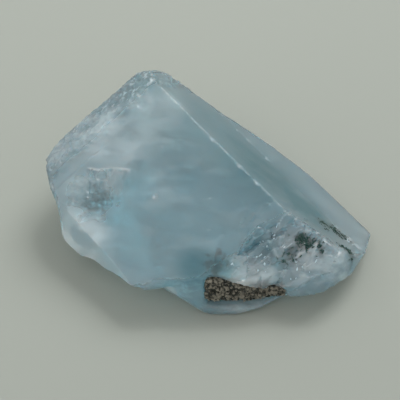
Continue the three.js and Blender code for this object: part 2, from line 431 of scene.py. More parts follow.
# Painted glints: each pit is also whitened in the colour, as if it caught the light.
pit_glints = np.zeros(len(co))
for at_along, at_down, radius, depth in PITS:
    relief -= depth * soft_spot(at_along, at_down, radius)
    pit_glints = np.maximum(pit_glints, soft_spot(at_along, at_down, radius))
print("etched patch:", int((patch > 0.5).sum()), "points;", len(PITS), "pits")

# %% [markdown]
# Across the etched patch runs a scar, where a flake came off: a sharp rim with a painted highlight along
# it, whitened in the colour, and below it a streaked hollow that fades out. It is worked out in the rim's
# own frame, as the distance along the rim and the distance below it.

# %% A scar with a sharp rim
SCAR_RIM = ((5.0, 23.5), (11.6, 17.4))  # mm along and down at the two ends of its rim
SCAR_DEPTH, SCAR_LENGTH = 0.7, 9.0  # mm
rim_start, rim_end = (np.array(place) for place in SCAR_RIM)
rim_length = np.linalg.norm(rim_end - rim_start)
rim_way = (rim_end - rim_start) / rim_length
on_face = np.stack([along, down], axis=1) - rim_start
rim_place = on_face @ rim_way  # mm along the rim
below_rim = on_face @ np.array([-rim_way[1], rim_way[0]])  # mm from the rim, down the scar
wander = 0.6 * noise_at(co, 3, 14)
scar = ramp(below_rim + wander, 0, 0.45) * ramp(below_rim + 3 * wander, SCAR_LENGTH, SCAR_LENGTH * 0.3)
scar *= ramp(rim_place + wander, -0.3, 0.6) * ramp(rim_place + wander, rim_length + 0.5, rim_length - 0.8)
scar *= grown * ON_BROAD_FACE
scar_way = np.array(axis) * -rim_way[1] + np.array(down_main) * rim_way[0]
relief -= scar * (SCAR_DEPTH - 0.6 * shells_at(stretched(co, scar_way, 3.0), 1.5, 15))
# Painted highlight: a white line along the rim, as if it caught the light.
rim_highlight = ramp(np.abs(below_rim + wander), 0.5, 0.1) * ON_BROAD_FACE
rim_highlight *= ramp(rim_place, -0.6, 0.4) * ramp(rim_place, rim_length + 0.6, rim_length)
print("scar:", int((scar > 0.5).sum()), "points")

# %% [markdown]
# ## Wear
#
# Beryl is hard but brittle, so its edges chip instead of rounding off. Each long edge between two growth
# faces loses a hair's breadth everywhere and a quarter of a millimetre where it is chipped. Bruised beryl
# is full of tiny cracks and looks white, so the same places are noted in a share for the material. That
# share also carries painted highlights: the scar's rim, the pits and the facets near the broken tip are
# whitened in it as if they caught the light.

# %% Chip the long edges and gather the wear and the painted highlights
STEEP, BEVEL = 1, 3  # the steep face, and the one that is frosted all over, by their places in `tilted`
FRESH_RIDGE = (9, 13)  # mm along, up to where the ridge is still fresh, and from where it is worn
EDGE_LOSS, CHIP_DEPTH = 0.03, 0.25  # mm


def edge_distance(a, b):
    """Each point's distance in mm from the edge where growth faces a and b meet."""
    depth_a, depth_b = (-(co - np.array(f[2])) @ np.array(f[1]) / MM for f in (tilted[a], tilted[b]))
    sine = tilted[a][1].cross(tilted[b][1]).length
    return np.maximum(np.abs(depth_a), np.abs(depth_b)) / sine


def near_face(number):
    """True within about a millimetre of one growth face."""
    share = (face_number == number).astype(float)
    for _ in range(4):
        share = mean_of(share)
    return share > 0.01


# Painted highlights: the scar's rim, the pits and the facets near the tip are whitened here as if lit. The
# rest is the whiteness of bruised and frosted beryl.
wear_and_highlights = np.maximum(0.65 * rim_highlight, 0.5 * crests) + 0.9 * pit_glints + 0.2 * step * ramp(along, 1.0, 2.6) + 0.6 * facet_highlight
wear_and_highlights = np.maximum(wear_and_highlights, 0.4 * (face_number == BEVEL))
chips = ramp(noise_at(co, 2.2, 8), 0.25, 0.5)
beside = [near_face(number) for number in range(len(tilted))]
for a, b in combinations(range(len(tilted)), 2):
    joined = beside[a] & beside[b]
    edge = edge_distance(a, b)
    wear = ramp(along, *FRESH_RIDGE) if b == STEEP else 1
    relief -= joined * wear * ramp(edge, 0.6, 0) * (EDGE_LOSS + CHIP_DEPTH * chips)
    line = wear * ramp(edge, 0.4, 0.1) * (0.04 + 0.3 * chips) * (1 if a == 0 else 0.3)
    wear_and_highlights = np.maximum(wear_and_highlights, joined * line)
print("worn points:", int((wear_and_highlights > 0.3).sum()))

# %% [markdown]
# ## The outline and the underside
#
# The left and front edges of the stone are wavier than the planes they were cut from, so a few stretches
# of edge are moved down the broad face or back, each fading out within its radius.
#
# The stone rests on the crests of its broken underside, not on a ground face. So the face that the packed
# solid stands on is hollowed a little between crests that stay at the height of the table.

# %% Hollow the underside and shape the mesh
REST_HOLLOW = 0.4  # mm
REST_CREST = 9  # mm between the crests that the stone rests on
UNDERSIDE_CALM = 0.6  # share of the relief left out under the stone, where the light comes through
PUSHED = [  # mm along, down and under, radius, and mm that the edge there is moved down the broad face
    (12, 36, 8, 8.5, 1.1),
    (31, 32, 1, 6, 0.5),
    (33.3, 29.8, 1.5, 3.2, 1.0),
    (36.3, 26.8, 2, 3, -1.3),
]
SHARP_ANGLE = math.radians(24)  # edges sharper than this keep a crisp line in the shading
resting = ramp(-normal[:, 2], 0.6, 0.9) * ramp(co[:, 2] / MM, 1.2, 0.4)
relief *= 1 - UNDERSIDE_CALM * ramp(-normal[:, 2], 0, 0.4)
relief = relief * (1 - resting) - REST_HOLLOW * resting * (1 - shells_at(co, REST_CREST, 9))
co += normal * (relief * MM)[:, None]
co += np.outer(sum(push * cloud(*place) for *place, push in PUSHED), np.array(down_main)) * MM
co[:, 2] = np.maximum(co[:, 2], 0.0)
set_points(crystal.data, co)
crystal.data.shade_smooth()
crystal.data.set_sharp_from_angle(angle=SHARP_ANGLE)
print("resting points:", int((co[:, 2] < 0.02 * MM).sum()))

# %% [markdown]
# ## What the skin tells its material
#
# The finish changes from place to place, so four shares are stored on the mesh for the material to read:
# how milky the beryl under a point is, how deep its blue-green, how worn or highlighted the skin, and how
# satin. Milk and colour are lists of soft balls. A milk ball is a place where the real stone is cloudy or
# clear. A colour ball deepens the blue-green. Under the steep face, which faces away from the light, and
# along the lip over the crust, that is painted shade; elsewhere it is the stone's own colour zoning. A
# negative strength makes a clear window.

# %% Milk and colour, place by place
MILKY = [  # mm along, down and under, radius, strength
    (5, 14, 0, 12, 0.75),
    (8, 28, 0, 11, 0.35),
    (6, 4, 0, 9, 0.5),
    (19, 14, 0, 8, 0.25),
    (16, 36, 4, 11, 2.0),
    (44, 17, 2, 6, 1.4),
    (47, 12, 3, 4, 1.2),
    (50.5, 4, 5, 5, 1.1),
    (54, 0, 7, 5, 1.1),
    (-4, 20, 4, 15, 0.7),
    (48, 18, 9, 7, 0.6),
    (48.3, 2.2, 3.5, 4, -0.9),
    (45, 6, 2, 5, -0.6),
    (48.5, -7, 12.5, 5, -0.6),
    (54, -3.8, 8, 3, -0.5),
]
# The same columns as above. Painted shade: the three balls with a negative down lie under the steep face,
# which faces away from the light, and the two at 21 and 17 mm down are a painted shadow along the lip. The
# others are the stone's own colour zoning.
TEAL_AND_SHADE = [
    (30, -4, 7, 16, 0.9),
    (14, -5, 8, 12, 0.5),
    (43, -5, 9, 9, 1.0),
    (36.5, 21, 1, 6, 0.9),
    (43, 8, 1, 5, 0.6),
    (20.4, 10, 0, 5, 0.25),
    (11, 27, 0, 5, 0.5),
    (40.5, 17, 1, 4, 0.8),
]
cloudy = noise_at(stretched(co, Vector((1, 0, 0)), 1.8), 4, 10, 4)
milk = sum(strength * cloud(*place) for *place, strength in MILKY) * (0.5 + 0.5 * cloudy)
teal = sum(strength * cloud(*place) for *place, strength in TEAL_AND_SHADE) * (0.9 + 0.3 * cloudy)
print("milky points:", f"{(milk > 0.3).mean():.0%}", "teal points:", f"{(teal > 0.3).mean():.0%}")

# %% Store the shares on the mesh
def store(mesh, name, values):
    mesh.attributes.new(name, "FLOAT", "POINT").data.foreach_set("value", np.clip(values, 0, 1))


hidden = ramp(-normal[:, 2], 0.1, 0.6)  # the underside is frosted, or the table would show through
store(crystal.data, "milk", milk + hidden * (0.7 + 0.3 * cloudy))
store(crystal.data, "teal", teal)
store(crystal.data, "wear_and_highlights", wear_and_highlights)
store(crystal.data, "satin", grown * (1 - 0.6 * patch))
print("stored:", [a.name for a in crystal.data.attributes if a.data_type == "FLOAT"])

# %% [markdown]
# ## Materials
#
# Three helpers serve every material: one turns an sRGB hex colour to Blender's linear one, one adds a node
# with its settings and links, and one starts a material with an empty tree. A helper for each kind of node
# would hide what a tree is made of, so there is only the one.

# %% Helpers for materials
def linear(code):
    """An sRGB hex colour as Blender's linear RGBA."""
    parts = [int(code[i : i + 2], 16) / 255 for i in (1, 3, 5)]
    return (*[c / 12.92 if c <= 0.04045 else ((c + 0.055) / 1.055) ** 2.4 for c in parts], 1)


def socket(sockets, key):
    """A node's socket by its number, or by its name among those in use, since some nodes repeat a name."""
    if isinstance(key, int):
        return sockets[key]
    return next(s for s in sockets if s.name == key and s.enabled)


def add(tree, kind, settings=None, links=None):
    """Adds a node. settings are its properties and its sockets' values, and links are what feeds it."""
    node = tree.nodes.new(kind)
    for key, value in (settings or {}).items():
        if key in node.inputs:
            socket(node.inputs, key).default_value = value
        else:
            setattr(node, key, value)
    for key, source in (links or {}).items():
        tree.links.new(source, socket(node.inputs, key))
    return node


def material(name):
    """A material and its tree, with no nodes yet."""
    made = bpy.data.materials.new(name)
    made.use_nodes = True
    made.node_tree.nodes.clear()
    return made, made.node_tree


print("mid grey in linear light:", [round(c, 3) for c in linear("#808080")])

# %% [markdown]
# ### Beryl
#
# Aquamarine is beryl coloured by iron. Its growth faces are satin and its breaks are glassy. Light goes
# into it, loses its red on the way, and comes back out from the milk of tiny droplets. A pure glass would
# show the table through the stone, and a pure subsurface material would look like soap. So the skin is a
# mix of both, and the shares on the mesh say how much of each: the transmission falls where the stone is
# milky, worn or given a painted highlight. The colour carries painted light as well: white for the painted
# highlights, and a deeper blue-green for painted shade. The volume absorption is what makes thick places
# bluer than thin ones.

# %% How much light goes through the skin, and how glossy it is
WISP_SIZE = 3 * MM  # the milk's wisps are about twice as long as they are wide
WISP_DRAW = (0.45, 1, 1)  # less than 1 draws the wisps out from left to right
THROUGH_CLEAR, THROUGH_MILK = 0.8, 0.2  # the share of the light that goes through, not into the milk
GLASSY, SATIN = 0.08, 0.3  # roughness of the breaks, and of the growth faces
beryl, tree = material("beryl_satin_faces_glassy_breaks")
share = {
    name: add(tree, "ShaderNodeAttribute", {"attribute_name": name}).outputs["Fac"]
    for name in ("milk", "teal", "wear_and_highlights", "satin")
}
place = add(tree, "ShaderNodeTexCoord").outputs["Object"]
streaky = add(tree, "ShaderNodeMapping", {"Scale": WISP_DRAW}, {"Vector": place})
wisps = add(
    tree, "ShaderNodeTexNoise",
    {"Scale": 1 / WISP_SIZE, "Detail": 6.0, "Roughness": 0.65},
    {"Vector": streaky.outputs["Vector"]},
)
wisp_milk = add(
    tree, "ShaderNodeMapRange",
    {"From Min": 0.35, "From Max": 0.7, "To Min": -0.16, "To Max": 0.2},
    {"Value": wisps.outputs["Fac"]},
)
milky = add(
    tree, "ShaderNodeMath", {"operation": "ADD"},
    {0: share["milk"], 1: wisp_milk.outputs["Result"]},
)
veiled = add(
    tree, "ShaderNodeMath", {"operation": "MAXIMUM"},
    {0: milky.outputs["Value"], 1: share["wear_and_highlights"]},
)
through = add(
    tree, "ShaderNodeMapRange",
    {"To Min": THROUGH_CLEAR, "To Max": THROUGH_MILK},
    {"Value": veiled.outputs["Value"]},
)
gloss = add(tree, "ShaderNodeMapRange", {"To Min": GLASSY, "To Max": SATIN}, {"Value": share["satin"]})
print("shares that the beryl reads:", ", ".join(share))

# %% Beryl, with satin growth faces and glassy breaks
BERYL_IOR = 1.575  # typical for aquamarine
PALE_BLUE, BLUE_GREEN_AND_SHADE, BRUISE_AND_HIGHLIGHT_WHITE = linear("#dce9ee"), linear("#7fafb9"), linear("#ecf5fa")
SCATTER_SCALE = 2.5 * MM  # how far light wanders in the milk
SCATTER_SPREAD = (0.8, 0.95, 1.0)  # red wanders least, because the stone takes it up
RED_LOSS = (0.2, 0.8, 0.9, 1)  # the colour that is left after a long way through the stone
ABSORPTION = 32.0  # per metre
# Painted shade: where the steep face turns from the light and along the lip, this deeper blue-green stands
# in for shade.
tint = add(
    tree, "ShaderNodeMix",
    {"data_type": "RGBA", "A": PALE_BLUE, "B": BLUE_GREEN_AND_SHADE},
    {"Factor": share["teal"]},
)
# White where the skin is bruised, and painted highlight where a rim, a pit or a facet is whitened as if it
# caught the light.
body = add(
    tree, "ShaderNodeMix",
    {"data_type": "RGBA", "B": BRUISE_AND_HIGHLIGHT_WHITE},
    {"Factor": share["wear_and_highlights"], "A": socket(tint.outputs, "Result")},
)
skin_shader = add(
    tree, "ShaderNodeBsdfPrincipled",
    {
        "IOR": BERYL_IOR, "Subsurface Weight": 1.0,
        "Subsurface Scale": SCATTER_SCALE, "Subsurface Radius": SCATTER_SPREAD,
    },
    {
        "Base Color": socket(body.outputs, "Result"),
        "Roughness": gloss.outputs["Result"],
        "Transmission Weight": through.outputs["Result"],
    },
)
absorb = add(tree, "ShaderNodeVolumeAbsorption", {"Color": RED_LOSS, "Density": ABSORPTION})
add(
    tree, "ShaderNodeOutputMaterial",
    links={"Surface": skin_shader.outputs["BSDF"], "Volume": absorb.outputs["Volume"]},
)
crystal.data.materials.append(beryl)
print("beryl:", len(tree.nodes), "nodes")

# %% [markdown]
# ## What is sealed inside the crystal, and what grew in its hollow
#
# Aquamarine grows out of hot water, and traps it. Healed cracks hold clouds of droplets that look milky.
# Cracks that never healed hold a film of air or water that flashes white, and near the broken end the
# crystal has taken in flakes of dark mica. The same flakes, with grains of feldspar, make up the crust in
# the hollow.
#
# All of these are one small shape repeated at many places, which is a job for Geometry Nodes. One tree
# does them all: it puts a shape at some of the points of a guide mesh, each at a size and a turn of its
# own.

# %% A node tree that scatters one shape over a guide's points
def scatter_tree():
    tree = bpy.data.node_groups.new("scatter", "GeometryNodeTree")
    sockets = {}
    for name, kind in (
        ("Guide", "Geometry"), ("Shape", "Object"), ("Share", "Float"),
        ("Smallest", "Float"), ("Largest", "Float"), ("Stray", "Float"),
        ("Least Turn", "Float"), ("Most Turn", "Float"), ("Seed", "Int"), ("Finish", "Material"),
    ):
        made = tree.interface.new_socket(name, in_out="INPUT", socket_type="NodeSocket" + kind)
        sockets[name] = made.identifier
    tree.interface.new_socket("Pieces", in_out="OUTPUT", socket_type="NodeSocketGeometry")
    given = add(tree, "NodeGroupInput").outputs

    # One random value a point for each of these. The seed is the caller's, so every run is the same.
    seed = {"Seed": given["Seed"]}
    picked = add(
        tree, "FunctionNodeRandomValue", {"data_type": "BOOLEAN"},
        {"Probability": given["Share"], **seed},
    )
    size = add(
        tree, "FunctionNodeRandomValue", {"data_type": "FLOAT"},
        {"Min": given["Smallest"], "Max": given["Largest"], **seed},
    )
    turn = add(
        tree, "FunctionNodeRandomValue", {"data_type": "FLOAT_VECTOR"},
        {"Min": given["Least Turn"], "Max": given["Most Turn"], **seed},
    )
    stray = add(tree, "FunctionNodeRandomValue", {"data_type": "FLOAT_VECTOR", "Min": (-1, -1, -1)}, seed)
    picked, size, turn, stray = (socket(node.outputs, "Value") for node in (picked, size, turn, stray))

    offset = add(
        tree, "ShaderNodeVectorMath", {"operation": "SCALE"},
        {"Vector": stray, "Scale": given["Stray"]},
    )
    moved = add(
        tree, "GeometryNodeSetPosition",
        links={"Geometry": given["Guide"], "Offset": offset.outputs["Vector"]},
    )
    shape = add(tree, "GeometryNodeObjectInfo", links={"Object": given["Shape"]})
    placed = add(
        tree, "GeometryNodeInstanceOnPoints",
        links={
            "Points": moved.outputs["Geometry"], "Selection": picked,
            "Instance": shape.outputs["Geometry"], "Rotation": turn, "Scale": size,
        },
    )
    real = add(tree, "GeometryNodeRealizeInstances", links={"Geometry": placed.outputs["Instances"]})
    done = add(
        tree, "GeometryNodeSetMaterial",
        links={"Geometry": real.outputs["Geometry"], "Material": given["Finish"]},
    )
    add(tree, "NodeGroupOutput", links={"Pieces": done.outputs["Geometry"]})
    return tree, sockets


SCATTER, SOCKETS = scatter_tree()
print("inputs:", ", ".join(SOCKETS))


# %% Run the tree on a list of places
ANY_TURN = (0.5 - math.pi, math.pi)  # radians about each axis, nearly all the way round
LITTLE_TURN = (0, 0.5)


def scattered(name, places, shape, finish, smallest, largest, stray=0.0, turn=ANY_TURN, share=1.0, seed=1):
    """A mesh of shapes at the places, which are in metres. Sizes and stray are in mm."""
    guide = new_object(name + "_guide", bpy.data.meshes.new(name + "_guide"))
    guide.data.from_pydata([tuple(p) for p in places], [], [])
    nodes = guide.modifiers.new("scatter", "NODES")
    nodes.node_group = SCATTER
    values = {
        "Shape": shape, "Share": share, "Smallest": smallest * MM, "Largest": largest * MM,
        "Stray": stray * MM, "Least Turn": float(turn[0]), "Most Turn": float(turn[1]),
        "Seed": seed, "Finish": finish,
    }
    for key, value in values.items():
        nodes[SOCKETS[key]] = value
    made = baked(guide, name)
    print(f"{name}: {len(places)} places, {len(made.data.polygons)} faces")
    return made


# %% [markdown]
# ### The small shapes
#
# Each repeated shape is a handful of faces, because there are thousands of them: a drop, a grain, and
# thin plates of several outlines. Two plates are turned beforehand: a sliver lies in the broad face's
# plane, as the cracks of a blow do, and a steep flake lies in the steep face's plane, so that its broad
# side is seen through that face.

# %% A drop
def shape_object(name, net):
    mesh = bpy.data.meshes.new(name)
    net.to_mesh(mesh)
    net.free()
    return new_object(name, mesh)


def droplet_shape():
    """A rounded drop of 20 faces."""
    net = bmesh.new()
    bmesh.ops.create_icosphere(net, subdivisions=1, radius=1)
    return shape_object("droplet", net)


droplet = droplet_shape()
print("droplet:", len(droplet.data.polygons), "faces")

# %% Films, flakes and slivers
SLIVER_WIDTH = 0.3  # a sliver's width, as a share of its length


def plate_shape(name, sides, thickness, ragged, seed):
    """A thin plate with a ragged outline, such as a mica flake or a film in a crack."""
    chance = np.random.default_rng(seed)
    net = bmesh.new()
    bmesh.ops.create_cone(net, cap_ends=True, segments=sides, radius1=1, radius2=1, depth=thickness)
    reach = 1 - ragged * chance.random(sides)
    for v in net.verts:
        side = round(math.atan2(v.co.y, v.co.x) / (2 * math.pi / sides)) % sides
        v.co.x *= reach[side]
        v.co.y *= reach[side]
        v.co.z += 0.18 * ragged * (v.co.x**2 - v.co.y)
    bmesh.ops.recalc_face_normals(net, faces=net.faces)
    return shape_object(name, net)


film = plate_shape("film", sides=9, thickness=0.04, ragged=0.5, seed=3)
flake = plate_shape("flake", sides=6, thickness=0.22, ragged=0.25, seed=4)
sliver = plate_shape("sliver", sides=8, thickness=0.06, ragged=0.4, seed=6)
broad_frame = Matrix((down_main, axis * SLIVER_WIDTH, main_face[1])).transposed()
sliver.data.transform(broad_frame.to_4x4())
steep_flake = plate_shape("steep_flake", sides=6, thickness=0.22, ragged=0.25, seed=4)
steep_frame = Matrix((axis, steep_face[1].cross(axis), steep_face[1])).transposed()
steep_flake.data.transform(steep_frame.to_4x4())
plates = (film, flake, sliver, steep_flake)
print("plates:", {plate.name: len(plate.data.polygons) for plate in plates})

# %% A blocky grain
def grain_shape(seed):
    """A blocky grain: a cube with its corners pushed about and cut off."""
    chance = np.random.default_rng(seed)
    net = bmesh.new()
    bmesh.ops.create_cube(net, size=1.5)
    for v in net.verts:
        v.co *= 0.75 + 0.4 * chance.random()
    bmesh.ops.bevel(net, geom=net.edges[:], offset=0.16, segments=1, affect="EDGES")
    return shape_object("grain", net)


grain = grain_shape(seed=5)
print("grain:", len(grain.data.polygons), "faces")

# %% [markdown]
# ### Where they may be
#
# Most of these things are sealed in and must not stick out of the crystal. A BVH tree of the skin answers
# two questions fast: is a point deep enough inside, and where is the skin nearest to it. What should look
# crisp is put just under the skin, because the milk blurs whatever lies deeper, and the mica of the broken
# end lies right at it, partly bare.

# %% Deep enough inside, or just under the skin
skin = BVHTree.FromObject(crystal, bpy.context.evaluated_depsgraph_get())


def sealed(points, depth):
    """The points that are inside the crystal, at least `depth` mm under its skin."""
    kept = []
    for p in points:
        foot, facing, _, distance = skin.find_nearest(Vector(p))
        if (Vector(p) - foot).dot(facing) < 0 and distance > depth * MM:
            kept.append(p)
    return kept


FACES_UP = 0.3  # the least upward part of the skin's normal that still counts as facing up


def near_skin(points, least, most, seed=0):
    """The points moved to `least` to `most` mm under the nearest skin, where that skin faces up."""
    chance = np.random.default_rng(seed)
    moved = []
    for p in points:
        foot, facing, _, _ = skin.find_nearest(Vector(p))
        depth = chance.uniform(least, most) * MM
        if facing.z > FACES_UP:
            moved.append(foot - facing * depth)
    return moved


inside = under_main(20, 12, 6)
print("a point 6 mm under the broad face is sealed:", len(sealed([inside], 5)) == 1)


# %% Clouds and sheets of places
def swarm(middle, reach, count, seed):
    """Points in a soft ellipsoid. middle is mm along, down and under, and reach its half sizes that way."""
    chance = np.random.default_rng(seed)
    return [under_main(*(np.array(middle) + chance.normal(0, 0.5, 3) * reach)) for _ in range(count)]


def sheet(middle, across, deep, reach, count, seed, ripple=0.5):
    """Points on a rippled sheet in the stone. across and deep are directions as along, down and under."""
    chance = np.random.default_rng(seed)
    across, deep = (np.array(v) / np.linalg.norm(v) for v in (across, deep))
    facing = np.cross(across, deep)
    found = []
    for _ in range(count):
        a, b = chance.uniform(-1, 1, 2)
        if a * a + b * b > 1:
            continue
        wave = ripple * math.sin(3 * a + seed) * math.cos(2.4 * b + 2 * seed)
        place = np.array(middle) + across * a * reach[0] + deep * b * reach[1] + facing * wave
        found.append(under_main(*place))
    return found


print("a sheet of 100 tries gives", len(sheet((20, 12, 6), (1, 0, 0), (0, 1, 0), (5, 5), 100, 1)), "places")

# %% [markdown]
# ### What they are made of
#
# These things are a fraction of a millimetre wide, so one even shader each is enough: what is seen is the
# many of them together, through the crystal.

# %% Finishes of the small things
def plain_finish(name, colour, roughness):
    """A material of one even shader, for what shows no pattern."""
    made, tree = material(name)
    shader = add(tree, "ShaderNodeBsdfPrincipled", {"Base Color": linear(colour), "Roughness": roughness})
    add(tree, "ShaderNodeOutputMaterial", links={"Surface": shader.outputs["BSDF"]})
    return made


# Water in drops: they scatter all light alike, which the eye reads as white haze.
water_haze = plain_finish("trapped_water_haze", "#eef4f6", 0.6)
# Air in an open crack reflects the light. Here that reflection is painted as a near-white, smooth finish,
# so the crack shows as a bright line.
crack_film = plain_finish("film_in_open_crack", "#f2f8fa", 0.15)
# A thinner film between two facets, its reflection painted too: bluer and duller, so that hundreds of them
# don't merge to a white blot.
sliver_film = plain_finish("thin_film_between_facets", "#d3e4ec", 0.3)
# Dark mica seen through beryl: green-black, its own sheen lost in the crystal around it.
sealed_mica = plain_finish("sealed_dark_mica", "#2a4f48", 0.5)
print("finishes:", water_haze.name, crack_film.name, sliver_film.name, sealed_mica.name)

# %% [markdown]
# ### Milky veils
#
# A crack that healed while the crystal grew leaves a sheet of droplets, thousands of them and far too
# small to see one by one. Drops of a tenth of a millimetre stand in for them here, which is as fine as a
# view of the whole stone can show. The sheets lie under the broad face, in the half nearer the grown end.

# %% Milky veils of droplets
VEILS = [  # middle, across, deep, reach, count
    ((5, 14, 2.2), (1, 0.4, 0.1), (0.1, 1, 0.5), (4.5, 7), 1500),
    ((8, 10, 4.0), (1, -0.3, 0.3), (0, 1, -0.3), (5, 5), 1100),
    ((2, 20, 2.5), (1, 0.2, -0.3), (0, 1, 0.2), (3.5, 6), 900),
    ((8, 4, 2.5), (1, 0, 0.3), (0.2, 1, 0.3), (4.5, 3.5), 800),
    ((9, 29, 2.5), (1, 0.3, 0.2), (0, 1, 0.4), (5, 4), 800),
    ((19, 14, 4.0), (1, 0.6, 0.5), (0, 1, 0.7), (6, 4), 900),
]
places = [p for i, veil in enumerate(VEILS) for p in sheet(*veil, seed=20 + i)]
veils = scattered("milky_veils", sealed(places, 0.5), droplet, water_haze, 0.05, 0.16, stray=0.35)

# %% [markdown]
# ### Open cracks
#
# A crack that stayed open holds a film of air or water. One runs under the scar's rim, with two short
# ones below it, one lies near the left edge, and a small one lies under the largest pit.

# %% White films in open cracks
CRACKS = [  # middle, across, deep, reach, count
    ((8.2, 20.5, 1.1), (1, -0.92, 0), (0, 0, 1), (4.6, 0.4), 150),
    ((11.5, 21.5, 1.6), (1, 0.6, 0), (0, 0, 1), (3.0, 0.7), 50),
    ((10, 22.5, 1.4), (1, 0.85, 0), (0, 0, 1), (2.2, 0.5), 40),
    ((1.2, 22, 1.2), (0.2, -1, 0), (0, 0, 1), (4.5, 0.4), 70),
    ((19.7, 17.3, 1.2), (1, 0.4, 0.2), (0, 1, 0.2), (0.7, 0.7), 14),
]
places = [p for i, crack in enumerate(CRACKS) for p in sheet(*crack, seed=40 + i, ripple=0.15)]
films = scattered("crack_films", sealed(places, 0.75), film, crack_film, 0.2, 0.75, seed=2)

# %% [markdown]
# ### Slivers in the shattered end
#
# Between the facets of the shattered end, hundreds of short cracks lie nearly parallel. The light each
# would reflect from its film is painted on it as a pale colour, so the end glitters. Most lie a little
# under the skin, a few fans of them lie nearer, and single glints lie nearest of all.

# %% Bright slivers between the facets of the shattered end
LIP_DOWN = 15.5  # mm down the broad face, where the shattered end thins out to a clear lip over the crust
GLINTS = ((42.0, 15.0, 1.0), (46.1, 10.2, 2.7), (49.9, 4.9, 3.9), (52.3, 2.1, 4.8), (52.8, -7.0, 12.2))
FANS = ((42.9, 3.6, 0.9), (42.9, 7.9, 1.3), (42.5, 11.6, 0.8))
places = swarm((44, 7, 2), (3.5, 9, 1), 420, 60)
places += swarm((50, 4, 4.5), (4.5, 5, 2), 260, 61)
places += swarm((45, 13, 2), (3, 3, 1), 70, 62)
sealed_slivers = near_skin(places, 0.3, 1.0)
for glint in GLINTS:
    sealed_slivers += near_skin(swarm(glint, (1.6, 1.2, 0.8), 6, 64), 0.1, 0.25)
for fan in FANS:
    sealed_slivers += near_skin(swarm(fan, (2.2, 2.6, 0.5), 35, 65), 0.25, 0.6)
above_lip = [p for p in sealed_slivers if (p - ridge_top).dot(down_main) < LIP_DOWN * MM]
slivers = scattered("crack_slivers", above_lip, sliver, sliver_film, 0.35, 1.1, turn=LITTLE_TURN, seed=6)

# %% [markdown]
# ### Sealed mica
#
# The crystal took in flakes of the dark mica that grew around it. They make a streak right at the steep
# face, near the ridge, and blots between the facets of the shattered end. Thin clouds of them lie deeper:
# in the shattered end, under the etched patch and beside the crust.

# %% A streak of mica in the steep face
places = swarm((46.6, -5.4, 9.4), (2.2, 1.1, 1.8), 70, 70)
places += swarm((48.9, -6.6, 11.6), (2.6, 1.2, 2.0), 150, 78)
places += swarm((51.0, -7.3, 12.7), (1.8, 0.9, 1.4), 60, 79)
at_skin = near_skin(places, 0.0, 0.25)
streak = scattered("mica_streak", at_skin, steep_flake, sealed_mica, 0.15, 0.5, turn=LITTLE_TURN, seed=7)

# %% Blots and clouds of mica
places = swarm((47.5, 1.8, 3.1), (2.4, 1.6, 0.8), 280, 71)
places += swarm((50.3, 0.2, 3.9), (1.5, 0.9, 0.8), 90, 72)
places += swarm((47.9, 5.8, 3.0), (2.5, 2.0, 0.8), 60, 73)
places += swarm((54.2, -3.9, 7.4), (2.0, 1.2, 0.8), 110, 74)
bare = near_skin(places, 0.05, 0.3, seed=1)
places = swarm((48.5, 2, 5.5), (5, 5, 1.5), 120, 77) + swarm((11, 26, 1.8), (3.2, 3.6, 0.6), 90, 76)
deep = sealed(places, 0.5) + sealed(swarm((39.5, 17.5, 1.5), (3.0, 3.8, 0.8), 110, 75), 0.3)
mica_inside = scattered("sealed_mica", bare + deep, flake, sealed_mica, 0.15, 0.6, seed=3)

# %% [markdown]
# ## The crust in the hollow
#
# The crust is a lump of the rock that the crystal grew on: brown feldspar grains and dark mica flakes,
# half a millimetre to a millimetre wide. A rough lump fills the hollow, and grains and flakes stand out
# of it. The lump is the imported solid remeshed, drawn back towards its right end and its foot, and
# roughened along its normals.

# %% The lump
CRUST_TAPER = 1.3  # mm that the crust's front draws back towards its right end
CRUST_UNDERCUT = 1.6  # mm that it draws back towards its foot
CRUST_VOXEL, CRUST_GROWN = 0.2, 0.2  # mm: the net's size, and how far the copy is grown to fill its hollow
CRUST_RELAX_ROUNDS = 6
crust_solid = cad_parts["matrix_crust"]
crust = remeshed(crust_solid, "crust_lump", CRUST_VOXEL, CRUST_GROWN)
lump_mean = neighbour_means(crust.data)
lump = points_of(crust.data)
for _ in range(CRUST_RELAX_ROUNDS):
    lump += (lump_mean(lump) - lump) * 0.8
low, high = lump.min(axis=0), lump.max(axis=0)
to_right = ramp(lump[:, 0], low[0] + 0.45 * (high[0] - low[0]), high[0])
to_front = ramp(lump[:, 1], high[1], low[1])
wavy_height = lump[:, 2] + 0.6 * MM * noise_at(lump, 2.5, 33)
to_bottom = ramp(wavy_height, low[2] + 0.35 * (high[2] - low[2]), low[2])
lump[:, 1] += MM * to_front * (CRUST_TAPER * to_right + CRUST_UNDERCUT * to_bottom)
set_points(crust.data, lump)
roughened = 0.5 * shells_at(lump, 1.8, 31) - 0.3 + 0.2 * noise_at(lump, 0.8, 32, 2)
lump += normals_of(crust.data) * (roughened * MM)[:, None]
lump[:, 2] = np.maximum(lump[:, 2], 0.0)
set_points(crust.data, lump)
crust.data.shade_smooth()
print("lump:", len(crust.data.polygons), "faces")

# %% [markdown]
# The rock is pegmatite, broken and never polished, so it is dull all over. A Voronoi texture gives every
# grain of half a millimetre a shade of its own between two browns, and a slower noise gathers the grains
# into darker patches, where there is more mica.

